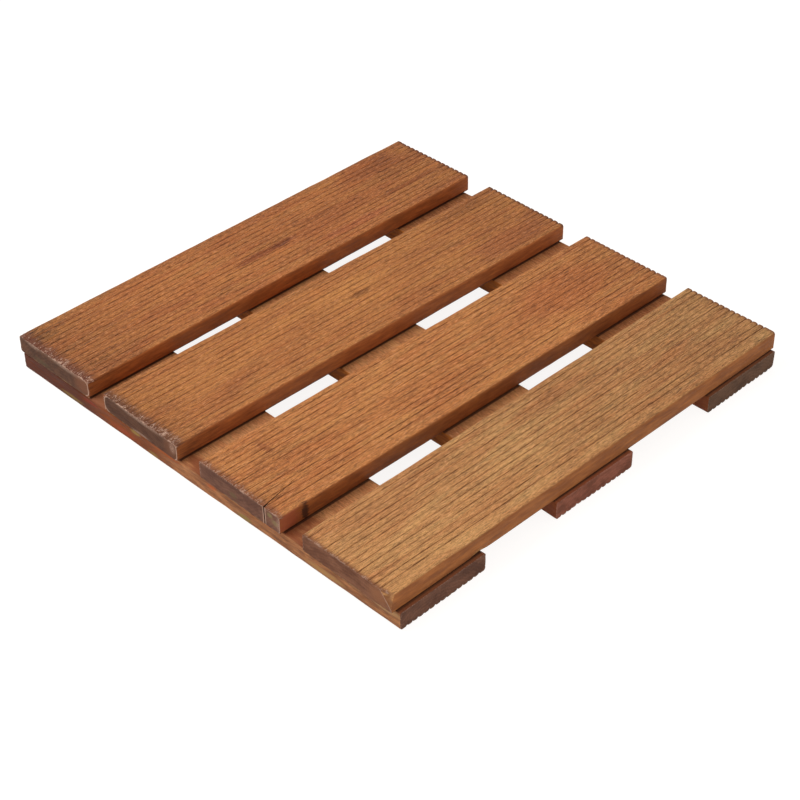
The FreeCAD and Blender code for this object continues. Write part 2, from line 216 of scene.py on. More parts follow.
def board_mesh(name, size, cup, materials):
    """The board as a lofted skin with worn arrises, uneven grooves and ragged ends."""
    length, width, count = size
    rng = np.random.default_rng(SEED + sum(map(ord, name)))
    rows = outline(width, count, ARRIS.get(name, BATTEN_ARRIS), BACK_ARRIS.get(name, OTHER_BACK_ARRIS))
    v0, w0, nv, nw, groove, share = rows.T
    n = len(rows)
    half = length / 2
    inner = np.linspace(-half + END_ZONE, half - END_ZONE, int((length - 2 * END_ZONE) / STATION_STEP))
    u0 = np.concatenate([-half + END_STATIONS, inner, half - END_STATIONS[::-1]])
    m = len(u0)
    u = np.repeat(u0[:, None], n, 1)
    v = np.repeat(v0[None, :], m, 0)
    w = np.repeat(w0[None, :], m, 0)
    top = np.clip(nw, 0, 1) * (w0 > THICKNESS - 0.01)

    # Grooves wander a little, and each is cut deeper here and shallower there
    middles = -(count - 1) / 2 * PITCH + groove * PITCH
    strength = np.ones(n)
    for index, factor in FAINT_GROOVES.get(name, {}).items():
        strength[groove == index] = factor
    wander = Noise(rng, 55, PITCH * 1.3, 2)(u, v)
    depth = 1 + DEPTH_SPREAD * Noise(rng, 19, PITCH * 0.9, 3)(u, middles[None, :])
    to_end = half - np.abs(u)
    widened = SLAT_WIDENING if name in SLATS else BATTEN_WIDENING
    opened = share[None, :] ** (1 - widened * np.clip(1 - to_end / WIDENING_REACH, 0, 1))
    clean = opened * strength[None, :] * np.clip(depth, *DEPTH_LIMITS)
    torn_reach = TORN_REACH.get(name, CLEAN_REACH)
    torn = np.clip(1 - (u + half) / torn_reach, 0, 1)
    fill, end_fill = (SLAT_CUT, SLAT_END_CUT) if name in SLATS else (BATTEN_CUT, BATTEN_END_CUT)
    fill = fill + (end_fill - fill) * np.clip(1 - to_end / END_CUT_REACH, 0, 1)
    bridged = TORN_BRIDGING * torn * (name in SLATS)
    v = v + GROOVE_WANDER * wander * top[None, :]
    w = w - GROOVE_DEPTH * clean * fill * (1 - bridged)

    # Planing leaves the ribs uneven, and tears fibres along the grooves
    ribs = Noise(rng, 9, 1.7, 2)(u, v0[None, :])
    fibres = Noise(rng, 90, PITCH)(u, v)
    wear = RIB_WEAR + RIB_SPREAD * ribs * top[None, :] + FIBRE_SPREAD * fibres * top[None, :]
    arris = np.hypot(nv, nw) * (np.abs(nv) > 0.1) * (np.abs(nw) > 0.1)
    rubbed = ARRIS_WEAR + ARRIS_SPREAD * Noise(rng, 22, 9, 2)(u, v0[None, :] + w0[None, :])
    wear = wear + arris[None, :] * rubbed
    flat = 1 - top[None, :]
    wear = wear + SKIN_SPREAD * flat * Noise(rng, 60, 16, 2)(u, v0[None, :] + 3 * w0[None, :])

    # The rims of the sawn ends are ragged, and the saw has torn the fibres next to them
    rim = np.clip(1 - to_end / RIM_REACH, 0, 1)
    ragged = Noise(rng, 3.1, 3.1, 2)(v0 + 2 * w0, np.sign(u) * 40)
    wear = wear + rim**2 * (RIM_WEAR + RIM_SPREAD * ragged)
    fuzz = Noise(rng, 2.2, 1.7, 2)(u, v0[None, :] + w0[None, :])
    bite = torn_reach / FULL_REACH
    wear = wear + bite * np.sqrt(torn) * (TORN_WEAR + TORN_SPREAD * fuzz) * (nw > -0.1)[None, :]
    for (cu, cv, cw), (ru, rv, rw), deep in CHIPS.get(name, []):
        near = ((u - cu) / ru) ** 2 + ((v0 - cv) / rv) ** 2 + ((w0 - cw) / rw) ** 2
        wear = wear + deep * np.exp(-near) * (1 + 0.3 * ragged)
    wear = np.maximum(wear, 0.0)
    v = v - wear * nv[None, :]
    w = w - wear * nw[None, :]
    recess = np.where(u < 0, 0.1 + 0.45 * bite * np.maximum(ragged, 0), 0.05)
    u = u - np.sign(u) * recess * np.clip(1 - to_end / 2.5, 0, 1)

    # Seasoning has cupped the board: its edges stand higher than its middle
    bow = (2 * v / width) ** 2
    w = np.where(w0[None, :] > THICKNESS / 2, w - cup[0] * (1 - bow), w + cup[1] * bow)

    # Pale fibres show where the rim of the rougher end is ragged
    lifted = 0.5 * (w0 > THICKNESS - 0.6) * (u < 0)
    for side in LIFTED_RIMS.get(name, ()):
        lifted = np.maximum(lifted, (side * v0 > width / 2 - 1.2) * (u < 0))
    pale = np.clip((ragged - 0.35 + 0.45 * lifted) * 2.5, 0, 1) * rim * (lifted > 0)
    skin = {"points": np.stack([u, v, w], -1), "groove": clean, "pale": pale}
    return loft(name, skin, half, rng, materials)


def loft(name, skin, half, rng, materials):
    """Turn the rings of points into a closed mesh, with uneven sawn faces at both ends."""
    grid = skin["points"]
    m, n = grid.shape[:2]
    points = [grid.reshape(-1, 3)]
    groove = [skin["groove"].reshape(-1)]
    pale = [skin["pale"].reshape(-1)]
    ring = np.arange(n)
    after = (ring + 1) % n
    quads = []
    for i in range(m - 1):
        a, b = i * n, (i + 1) * n
        quads.append(np.stack([a + ring, a + after, b + after, b + ring], -1))
    faces = np.concatenate(quads).tolist()
    kinds = [TIMBER] * len(faces)
    total = m * n
    saw = Noise(rng, 2.6, 2.6, 3)
    for side, row in ((-1, 0), (1, m - 1)):
        rim = grid[row]
        low, high = rim[:, 1].min() + THICKNESS / 2, rim[:, 1].max() - THICKNESS / 2
        spine = np.stack([rim[:, 0], np.clip(rim[:, 1], low, high), np.full(n, THICKNESS / 2)], -1)
        last = row * n
        for share in SAWN_RINGS:
            outermost = share == SAWN_RINGS[0]
            loop = rim + (spine - rim) * share
            uneven = SAWN_WEAR + SAWN_SPREAD * saw(loop[:, 1], loop[:, 2] * 3 + side * 60)
            loop[:, 0] = side * (half - np.maximum(uneven, 0) - SAWN_EDGE_WEAR * outermost)
            points.append(loop)
            groove.append(np.zeros(n))
            pale.append(skin["pale"][row] * (0.9 if outermost else 0.0))
            faces += np.stack([last + ring, last + after, total + after, total + ring], -1).tolist()
            kinds += [END_GRAIN] * n
            last = total
            total += n
        faces.append((last + ring).tolist())
        kinds.append(END_GRAIN)
    mesh = bpy.data.meshes.new(name)
    mesh.from_pydata((np.concatenate(points) * MM).tolist(), [], faces)
    give_materials(mesh, materials)
    mesh.polygons.foreach_set("material_index", kinds)
    add_attribute(mesh, "groove", np.concatenate(groove))
    add_attribute(mesh, "pale", np.concatenate(pale))
    return mesh


def add_attribute(mesh, name, values):
    layer = mesh.attributes.new(name, "FLOAT", "POINT")
    layer.data.foreach_set("value", np.asarray(values, np.float32))


def give_materials(mesh, materials):
    for material in materials:
        mesh.materials.append(material)


def outward(mesh):
    """Turn all faces of a closed mesh outward."""
    work = bmesh.new()
    work.from_mesh(mesh)
    bmesh.ops.recalc_face_normals(work, faces=work.faces)
    work.to_mesh(mesh)
    work.free()
    mesh.validate()


def cutter_mesh(name, points, faces, materials, material=TIMBER, groove=0.0):
    """A closed mesh to take out of a board; the faces that it cuts get the given material."""
    mesh = bpy.data.meshes.new(name)
    mesh.from_pydata([[c * MM for c in point] for point in points], [], faces)
    add_attribute(mesh, "groove", [groove] * len(points))
    add_attribute(mesh, "pale", [0.0] * len(points))
    give_materials(mesh, materials)
    mesh.polygons.foreach_set("material_index", [material] * len(faces))
    outward(mesh)
    return mesh


def carve(mesh, cutter):
    """Take the cutter's volume out of the mesh."""
    body = bpy.data.objects.new("carved", mesh)
    tool = bpy.data.objects.new("cutter", cutter)
    for item in (body, tool):
        bpy.context.scene.collection.objects.link(item)
    modifier = body.modifiers.new("carve", "BOOLEAN")
    modifier.operation = "DIFFERENCE"
    modifier.solver = "EXACT"
    modifier.object = tool
    graph = bpy.context.evaluated_depsgraph_get()
    result = bpy.data.meshes.new_from_object(body.evaluated_get(graph))
    bpy.data.objects.remove(body)
    bpy.data.objects.remove(tool)
    return result


def split_cutter(materials):
    """The drying split: a thin wavering wedge through the board, in rings of four points."""
    waver = Noise(np.random.default_rng(SEED), 9, 9, 2)
    (u0, v0), (u1, v1) = SPLIT["mouth"], SPLIT["tip"]
    lean = SPLIT["lean"]
    points = []
    for share in np.linspace(-0.02, 1, SPLIT["stations"]):
        u = u0 + (u1 - u0) * share
        v = v0 + (v1 - v0) * share**1.15 if share > 0 else v0
        v += SPLIT["waver"] * float(waver(u, 0))
        open_to = SPLIT["width"] / 2 * (1 - 0.9 * max(share, 0)) * (1 + 0.25 * float(waver(u, 90)))
        points += [
            (u, v - open_to - lean, -1), (u, v + open_to - lean, -1),
            (u, v + open_to + lean, THICKNESS + 1), (u, v - open_to + lean, THICKNESS + 1),
        ]
    faces, last = [(0, 1, 2, 3)], len(points) - 4
    for first in range(0, last, 4):
        for j, k in ((0, 1), (1, 2), (2, 3), (3, 0)):
            faces.append((first + j, first + k, first + 4 + k, first + 4 + j))
    faces.append((last + 3, last + 2, last + 1, last))
    return cutter_mesh("split", points, faces, materials, CRACK)


def splinter_cutter(materials):
    """The broken-off corner: a fibrous face, closed to a point outside the board."""
    fibres = Noise(np.random.default_rng(SEED + 2), 8, 1.1, 2)
    corners = np.array(SPLINTER["corners"], float)
    middle = corners.mean(0)
    corners = middle + (corners - middle) * 1.15
    normal = np.cross(corners[1] - corners[0], corners[2] - corners[0])
    normal /= np.linalg.norm(normal)
    count = SPLINTER["steps"]
    points, place = [], {}
    for i in range(count + 1):
        for j in range(count + 1 - i):
            share = np.array([count - i - j, i, j]) / count
            point = share @ corners
            lift = SPLINTER["roughness"] * float(fibres(point[0], point[1] + point[2]))
            place[i, j] = len(points)
            points.append(point + normal * (lift * min(1.0, 6 * share.min())))
    faces = []
    for i in range(count):
        for j in range(count - i):
            faces.append((place[i, j], place[i + 1, j], place[i, j + 1]))
            if i + j < count - 1:
                faces.append((place[i + 1, j], place[i + 1, j + 1], place[i, j + 1]))
    rim = [place[i, 0] for i in range(count)] + [place[count - j, j] for j in range(count)]
    rim += [place[0, count - j] for j in range(count)]
    outside = len(points)
    points.append(SPLINTER["outside"])
    faces += [(rim[k], rim[(k + 1) % len(rim)], outside) for k in range(len(rim))]
    return cutter_mesh("splinter", points, faces, materials)


def dent_cutter(materials):
    """All the dents that the staples' crowns leave in a batten's ribs, as one mesh."""
    rng = np.random.default_rng(SEED + 1)
    du, dv, dw = (size / 2 for size in DENT)
    points, faces = [], []
    for slat in SLATS.values():
        for across, along in STAPLE_SPOTS:
            u, v = slat["y"] - BATTEN_Y + along, across
            first = len(points)
            for w, grow in ((THICKNESS - 2 * dw, 0.85), (THICKNESS + 1.5, 1.2)):
                for su, sv in ((-1, -1), (1, -1), (1, 1), (-1, 1)):
                    push = rng.uniform(-DENT_SPREAD, DENT_SPREAD, 2)
                    points.append((u + su * du * grow + push[0], v + sv * dv * grow + push[1], w))
            faces += [[first + k for k in face] for face in (
                (0, 1, 2, 3), (4, 5, 6, 7), (0, 1, 5, 4), (1, 2, 6, 5), (2, 3, 7, 6), (3, 0, 4, 7))]
    # The dents' faces take the grooves' dirt and painted shade
    return cutter_mesh("dents", points, faces, materials, groove=0.6)


# Materials


def tone(red, green, blue):
    """An sRGB tone, 0 to 255, as linear colour."""
    parts = [c / 255 for c in (red, green, blue)]
    return tuple(c / 12.92 if c <= 0.04045 else ((c + 0.055) / 1.055) ** 2.4 for c in parts) + (1.0,)


class Tree:
    """A short way to write a node tree: every input is a socket or a plain value."""

    def __init__(self, name):
        self.material = bpy.data.materials.new(name)
        self.material.use_nodes = True
        self.tree = self.material.node_tree
        self.tree.nodes.clear()

    def feed(self, socket, value):
        if isinstance(value, bpy.types.NodeSocket):
            self.tree.links.new(value, socket)
        else:
            socket.default_value = value

    def node(self, kind, inputs, **settings):
        made = self.tree.nodes.new(kind)
        for key, value in settings.items():
            setattr(made, key, value)
        for key, value in inputs.items():
            self.feed(made.inputs[key], value)
        return made

    def math(self, operation, *values, clamp=False):
        inputs = dict(enumerate(values))
        return self.node("ShaderNodeMath", inputs, operation=operation, use_clamp=clamp).outputs[0]

    def total(self, first, *others):
        """The sum of all the values."""
        for value in others:
            first = self.math("ADD", first, value)
        return first

    def centred(self, value, gain):
        """A value from 0 to 1 shifted to lie round 0, times a gain."""
        return self.math("MULTIPLY", self.math("SUBTRACT", value, 0.5), gain)

    def vector(self, operation, *values):
        return self.node("ShaderNodeVectorMath", dict(enumerate(values)), operation=operation).outputs[0]

    def band(self, value, low, high, to_low=0.0, to_high=1.0):
        """A smooth step of the value from low to high."""
        inputs = {"Value": value, "From Min": low, "From Max": high, "To Min": to_low, "To Max": to_high}
        made = self.node("ShaderNodeMapRange", inputs, interpolation_type="SMOOTHSTEP")
        return made.outputs["Result"]

    def blend(self, factor, first, second, mode="MIX"):
        made = self.node("ShaderNodeMix", {}, data_type="RGBA", blend_type=mode)
        for index, value in ((0, factor), (6, first), (7, second)):
            self.feed(made.inputs[index], value)
        return made.outputs[2]

    def noise(self, at, stretch, shift, detail=2.0, roughness=0.5, distortion=0.0):
        """Noise with one cell about as large as stretch (u, v, w), in millimetres."""
        scaled = self.vector("DIVIDE", at, stretch)
        moved = self.vector("ADD", scaled, (shift, shift * 0.37, shift * 0.71))
        inputs = {"Vector": moved, "Scale": 1.0, "Detail": detail, "Roughness": roughness}
        inputs["Distortion"] = distortion
        return self.node("ShaderNodeTexNoise", inputs).outputs["Fac"]

    def attribute(self, name):
        return self.node("ShaderNodeAttribute", {}, attribute_name=name).outputs["Fac"]

    def shine(self, colour, roughness, height, distance, strength, specular, metallic=0.0):
        bump = self.node("ShaderNodeBump", {"Height": height})
        bump.inputs["Distance"].default_value = distance
        bump.inputs["Strength"].default_value = strength
        inputs = {"Base Color": colour, "Roughness": roughness, "Normal": bump.outputs[0]}
        shader = self.node("ShaderNodeBsdfPrincipled", inputs)
        shader.inputs["Specular IOR Level"].default_value = specular
        shader.inputs["Metallic"].default_value = metallic
        self.node("ShaderNodeOutputMaterial", {"Surface": shader.outputs[0]})
        return self.material


def shade(tree, colour, amount):
    """The colour times 1 plus an amount."""
    gain = tree.math("ADD", 1.0, amount)
    both = tree.node("ShaderNodeCombineXYZ", {"X": gain, "Y": gain, "Z": gain}).outputs[0]
    return tree.blend(1.0, colour, both, "MULTIPLY")


def own_place(tree):
    """The board's own coordinates in millimetres, whole and as u, v and w."""
    place = tree.node("ShaderNodeTexCoord", {}).outputs["Object"]
    at = tree.vector("MULTIPLY", place, (1000.0, 1000.0, 1000.0))
    parts = tree.node("ShaderNodeSeparateXYZ", {"Vector": at})
    return at, parts.outputs[0], parts.outputs[1], parts.outputs[2]


def spot(tree, at, centre, reach, noise, soft=0.5):
    """1 inside an uneven patch round a centre, falling to 0 at its reach."""
    offset = tree.vector("DIVIDE", tree.vector("SUBTRACT", at, centre), reach)
    distance = tree.node("ShaderNodeVectorMath", {0: offset}, operation="LENGTH").outputs["Value"]
    uneven = tree.math("ADD", distance, tree.centred(noise, 1.3))
    return tree.band(uneven, 1.0, soft, 0.0, 1.0)


def tinted(tree, at, shading, patches, uneven):
    """Shading with broad lighter and darker patches added: place, reach and amount of each."""
    for place, reach, amount in patches:
        near = spot(tree, at, place, reach, uneven, 0.0)
        shading = tree.math("ADD", shading, tree.math("MULTIPLY", near, amount))
    return shading


def marked(tree, at, colour, marks, noise, soft, strength):
    """The colour with uneven patches of other tones laid on it: place, reach and tone of each."""
    for place, reach, shade_of in marks:
        near = spot(tree, at, place, reach, noise, soft)
        colour = tree.blend(tree.math("MULTIPLY", near, strength), colour, tone(*shade_of))
    return colour


def timber(name, look, size):
    """Planed, weathered softwood seen along the grain."""
    length, width, count = size
    half = width / 2
    shift = look["shift"]
    tree = Tree(name)
    at, u, v, w = own_place(tree)
    patches = tree.noise(at, (70.0, 9.0, 9.0), shift, 3.0, 0.55, 0.6)
    clouds = tree.noise(at, (120.0, 36.0, 30.0), shift + 7, 2.0, 0.5)
    streaks = tree.noise(at, (22.0, 1.4, 1.4), shift + 11, 3.0, 0.6)
    flecks = tree.noise(at, (5.5, 0.8, 0.8), shift + 23, 2.0, 0.6)
    grit = tree.noise(at, (1.3, 0.7, 0.7), shift + 31, 1.0, 0.5)

    # Every rib has a tone of its own, which changes slowly along it
    rib = tree.math("FLOOR", tree.math("DIVIDE", tree.math("ADD", v, (count % 2) * PITCH / 2), PITCH))
    rib_place = tree.node("ShaderNodeCombineXYZ", {
        "X": tree.math("DIVIDE", u, 85.0), "Y": tree.math("MULTIPLY", rib, 3.7), "Z": shift})
    rib_tone = tree.noise(rib_place.outputs[0], (1.0, 1.0, 1.0), 0.5)

    mixing = tree.total(tree.centred(patches, 2.2), tree.centred(rib_tone, 0.8), tree.centred(clouds, 1.4))
    mixing = tree.math("ADD", mixing, 0.5, clamp=True)
    colour = tree.blend(mixing, tone(*look["red"]), tone(*look["gold"]))
    colour = marked(tree, at, colour, look["veins"], streaks, 0.5, 0.85)
    shading = tree.total(
        tree.centred(streaks, 1.0), tree.centred(flecks, look["fleck"]),
        tree.centred(grit, 0.45 * look["fleck"]), tree.centred(rib_tone, 0.3), tree.centred(clouds, 0.35))
    for start, end, amount in look["ramps"]:
        along = tree.math("ADD", u, tree.centred(patches, 60.0))
        shading = tree.math("ADD", shading, tree.band(along, start, end, 0.0, amount))
    colour = shade(tree, colour, tinted(tree, at, shading, look["tints"], streaks))

    # Pinkish lifted fibres, and short dark pores
    lifted = tree.band(flecks, 0.56, 0.7, 0.0, look["lifted"])
    colour = tree.blend(lifted, colour, tone(*look["fibre"]))
    pores = tree.noise(at, (4.5, 0.6, 0.6), shift + 41, 1.0, 0.5)
    colour = tree.blend(tree.band(pores, 0.37, 0.28, 0.0, 0.5), colour, tone(*look["dark"]))

    # Dirt and painted shade in the grooves, darker with depth, come and go
    groove = tree.attribute("groove")
    groove_dirt_and_shade = tree.noise(at, (9.0, 2.6, 2.6), shift + 53, 3.0, 0.7)
    groove_dirt_and_shade = tree.band(groove_dirt_and_shade, 0.34, 0.58, 0.16, look["groove_dirt_and_shade"])
    groove_dirt_and_shade = tree.math("MULTIPLY", tree.band(groove, 0.25, 0.9), groove_dirt_and_shade)
    colour = tree.blend(groove_dirt_and_shade, colour, tone(*look["dark"]))

    # The sides of the board are smooth, darker and redder
    side = tree.band(tree.math("ABSOLUTE", v), half - 1.3, half - 0.2)
    smudges = tree.noise(at, (26.0, 9.0, 4.5), shift + 61, 3.0, 0.6)
    stain = tree.blend(tree.band(smudges, 0.32, 0.68), tone(*look["edge_dark"]), tone(*look["edge"]))
    for start, end, shade_of in look["side_runs"]:
        ramp = tree.total(tree.math("MULTIPLY", w, 0.8), u, tree.centred(smudges, 46.0))
        stain = tree.blend(tree.band(ramp, start, end), stain, tone(*shade_of))
    fine = tree.total(tree.centred(streaks, 0.7), tree.centred(flecks, 0.6), tree.centred(smudges, 0.5))
    fine = tree.math("MULTIPLY", fine, look["side_fine"])
    stain = shade(tree, stain, tinted(tree, at, fine, look["side_tints"], streaks))
    stain = marked(tree, at, stain, look["patches"], smudges, 0.3, 0.8)
    colour = tree.blend(side, colour, stain)
    colour = marked(tree, at, colour, look["stains"], smudges, 0.45, 0.85)

    # Painted shade, with some dirt, darkens the foot of the deck's long sides, and painted shade darkens the
    # battens' backs beyond the deck
    if look["slat"]:
        near_edge = tree.band(tree.math("ABSOLUTE", v), half - 4.0, half - 2.5)
        foot = tree.band(w, look["foot_height"], look["foot_height"] - 1.0, 0.0, look["foot_depth"])
        foot = tree.math("MULTIPLY", foot, near_edge)
        foot_shade_and_dirt = tone(*look["foot"])
    else:
        beyond = tree.band(tree.math("ABSOLUTE", u), length / 2 - 6.5, length / 2 - 5.0)
        foot = tree.math("MULTIPLY", tree.band(w, 1.5, 0.4, 0.0, 0.85), beyond)
        outer = tree.band(tree.math("ABSOLUTE", u), length / 2 - 3.5, length / 2 - 1.8)
        foot_shade_and_dirt = tree.blend(outer, tone(*look["contact_shade"]), tone(*look["foot"]))
    colour = tree.blend(foot, colour, foot_shade_and_dirt)
    # Painted contact shadow: a dark line on the batten in front of each slat's foot
    for start, slope, reach in look["contacts"]:
        beside = tree.math("SUBTRACT", u, tree.math("ADD", start, tree.math("MULTIPLY", v, slope)))
        line = tree.band(beside, -reach - 0.7, -reach + 0.5)
        for fade in (tree.band(beside, 4.0, 2.0), tree.band(w, 1.0, 0.4, 0.0, 0.85)):
            line = tree.math("MULTIPLY", line, fade)
        colour = tree.blend(line, colour, tone(*look["contact_shade"]))

    for place, reach in look["knots"]:
        knot = spot(tree, at, place, reach, flecks, 0.45)
        colour = tree.blend(tree.math("MULTIPLY", knot, 0.9), colour, tone(*look["knot"]))

    # The saw has darkened the sawn ends, and torn up fibres next to the rougher one
    ragged = tree.math("ADD", tree.noise(at, (40.0, 2.6, 40.0), shift + 67, 2.0, 0.6), 0.25)
    from_left = tree.math("ADD", u, length / 2)
    from_left = tree.math("DIVIDE", from_left, tree.math("MULTIPLY", ragged, 1.6 * look["torn_reach"]))
    from_right = tree.math("DIVIDE", tree.math("SUBTRACT", length / 2, u), tree.math("MULTIPLY", ragged, 6.0))
    upper = tree.band(w, THICKNESS - 3.0, THICKNESS - 1.6)
    scorched = tree.math("MINIMUM", tree.math("MULTIPLY", from_left, 0.72), from_right)
    scorched = tree.band(scorched, 1.0, 0.1, 0.0, 0.85)
    colour = tree.blend(tree.math("MULTIPLY", scorched, upper), colour, tone(*look["torn_base"]))
    torn = tree.noise(at, (2.8, 0.9, 0.9), shift + 71, 2.0, 0.7)
    clumps = tree.noise(at, (13.0, 9.0, 40.0), shift + 73, 2.0, 0.6)
    torn = tree.math("ADD", torn, tree.centred(clumps, 0.6))
    rim_hairs = tree.math("MULTIPLY", tree.attribute("pale"), tree.band(torn, 0.4, 0.56))
    torn = tree.math("MULTIPLY", tree.band(torn, 0.55, 0.63), tree.band(from_left, 1.0, 0.4))
    torn = tree.math("MULTIPLY", torn, upper)
    torn = tree.math("MAXIMUM", torn, rim_hairs)
    colour = tree.blend(tree.math("MULTIPLY", torn, look["torn"]), colour, tone(*look["torn_tone"]))

    rough = tree.band(streaks, 0.3, 0.7, 0.62, 0.82)
    height = tree.total(
        tree.centred(streaks, 0.8), tree.centred(flecks, 0.9), tree.centred(grit, 0.45),
        tree.math("MULTIPLY", torn, 0.5))
    return tree.shine(colour, rough, height, 0.0006, 0.5, 0.28)


def end_grain(name, look, size):
    """Sawn end of a board: growth rings, rays, dirt and pale torn fibres at its rim."""
    half = size[1] / 2
    shift = look["shift"]
    tree = Tree(name)
    at, _, v, w = own_place(tree)
    wobble = tree.noise(at, (30.0, 14.0, 14.0), shift + 3, 2.0, 0.5)
    flat = tree.vector("MULTIPLY", tree.vector("SUBTRACT", at, (0.0,) + look["pith"]), (0.0, 1.0, 1.0))
    radius = tree.node("ShaderNodeVectorMath", {0: flat}, operation="LENGTH").outputs["Value"]
    radius = tree.math("ADD", radius, tree.centred(wobble, 5.0))
    ring = tree.math("SINE", tree.math("MULTIPLY", radius, 2 * math.pi / look["ring"]))
    cloud = tree.noise(at, (20.0, 18.0, 9.0), shift + 9, 3.0, 0.6)
    fuzz = tree.noise(at, (1.2, 1.0, 1.0), shift + 13, 3.0, 0.7)
    rays = tree.noise(at, (2.0, 1.1, 3.4), shift + 17, 2.0, 0.5)
    colour = tree.blend(tree.band(cloud, 0.35, 0.65), tone(*look["end_dark"]), tone(*look["end"]))
    shading = tree.total(tree.math("MULTIPLY", ring, 0.08), tree.centred(fuzz, 0.8), tree.centred(rays, 0.45))
    colour = shade(tree, colour, tinted(tree, at, shading, look["end_tints"], cloud))

    # The upper rim is torn, and the lower one a little
    upper, lower = tree.math("SUBTRACT", THICKNESS - look["cup"][0] / 2, w), w
    if not look["slat"]:
        upper, lower = lower, upper
    sides = tree.math("SUBTRACT", half, tree.math("ABSOLUTE", v))
    rim = tree.math("MINIMUM", upper, sides)
    hairs = tree.noise(at, (2.0, 1.2, 1.2), shift + 29, 2.0, 0.65)
    hairs = tree.math("MULTIPLY", tree.band(hairs, 0.5, 0.6), tree.band(rim, look["hair_reach"], 0.4))
    for place, reach in look["end_fuzz"]:
        near = spot(tree, at, place, reach, fuzz, 0.3)
        tuft = tree.math("MULTIPLY", near, tree.band(fuzz, 0.42, 0.62, 0.15, 0.8))
        hairs = tree.math("MAXIMUM", hairs, tuft)
    for side, radius, strength in look["end_arcs"]:
        beside = tree.math("SUBTRACT", tree.math("MULTIPLY", v, side), half - radius)
        beside = tree.math("MAXIMUM", beside, 0.0)
        above = tree.math("ABSOLUTE", tree.math("SUBTRACT", w, THICKNESS / 2))
        above = tree.math("MAXIMUM", tree.math("SUBTRACT", above, THICKNESS / 2 - radius), 0.0)
        corner = tree.node("ShaderNodeCombineXYZ", {"X": beside, "Y": above}).outputs[0]
        corner = tree.node("ShaderNodeVectorMath", {0: corner}, operation="LENGTH").outputs["Value"]
        corner = tree.math("ADD", corner, tree.centred(fuzz, 1.4))
        at_side = tree.band(beside, 0.3, 1.6)
        worn = tree.math("MULTIPLY", tree.band(corner, radius - 0.5, radius + 0.1, 0.0, 0.8), at_side)
        colour = tree.blend(worn, colour, tone(*look["edge_dark"]))
        arc = tree.math("ABSOLUTE", tree.math("SUBTRACT", corner, radius - 0.9))
        arc = tree.math("MULTIPLY", tree.band(arc, 0.75, 0.25, 0.0, strength), at_side)
        hairs = tree.math("MAXIMUM", hairs, arc)
    for (v0, w0), (v1, w1) in look["end_breaks"]:
        span = math.hypot(v1 - v0, w1 - w0)
        aside = tree.math("MULTIPLY", tree.math("SUBTRACT", v, v0), (w1 - w0) / span)
        back = tree.math("MULTIPLY", tree.math("SUBTRACT", w, w0), (v1 - v0) / span)
        aside = tree.math("SUBTRACT", aside, back)
        aside = tree.math("ADD", tree.math("ABSOLUTE", aside), tree.centred(fuzz, 1.2))
        hairs = tree.math("MAXIMUM", hairs, tree.band(aside, 1.1, 0.4))
    for line in look["end_lines"]:
        aside = tree.math("ABSOLUTE", tree.math("SUBTRACT", v, line))
        hairs = tree.math("MAXIMUM", hairs, tree.band(aside, 0.8, 0.3))
    hairs = tree.math("MAXIMUM", hairs, tree.attribute("pale"))
    colour = marked(tree, at, colour, look["end_patches"], fuzz, 0.3, 0.6)
    fringe = tree.noise(at, (6.0, 5.0, 3.0), shift + 37, 2.0, 0.6)
    fringe = tree.math("MULTIPLY", tree.band(fringe, 0.5, 0.6, 0.0, 0.55), tree.band(lower, 1.6, 0.5))
    colour = tree.blend(fringe, colour, tone(*look["fringe"]))
    colour = tree.blend(tree.math("MULTIPLY", hairs, look["torn"]), colour, tone(*look["torn_tone"]))
    rough = tree.band(fuzz, 0.3, 0.7, 0.75, 0.92)
    height = tree.math("ADD", tree.centred(fuzz, 0.9), tree.math("MULTIPLY", ring, 0.1))
    return tree.shine(colour, rough, height, 0.0007, 0.6, 0.2)


def crack(name):
    """The dark inside of a drying split."""
    tree = Tree(name)
    at = own_place(tree)[0]
    fibres = tree.noise(at, (9.0, 0.8, 0.8), 3.0, 2.0, 0.6)
    colour = tree.blend(fibres, tone(20, 9, 5), tone(44, 22, 12))
    return tree.shine(colour, tree.band(fibres, 0.3, 0.7, 0.8, 0.95), fibres, 0.0003, 0.4, 0.15)


def wire():
    """Galvanised staple wire: dull zinc with spangle and a little rust."""
    tree = Tree("staple_wire")
    at = own_place(tree)[0]
    spangle = tree.node("ShaderNodeTexVoronoi", {"Vector": at, "Scale": 0.9}).outputs["Color"]
    grey = tree.node("ShaderNodeSeparateColor", {"Color": spangle}).outputs[0]
    colour = tree.blend(grey, tone(150, 152, 155), tone(186, 188, 190))
    rust = tree.noise(at, (2.5, 2.5, 2.5), 5.0, 4.0, 0.65)
    rust = tree.band(rust, 0.52, 0.66)
    colour = tree.blend(rust, colour, tone(116, 70, 42))
    rough = tree.band(rust, 0.0, 1.0, 0.38, 0.85)
    draw = tree.noise(at, (0.5, 0.5, 6.0), 9.0, 2.0, 0.5)
    return tree.shine(colour, rough, draw, 0.0002, 0.3, 0.5, 0.85)


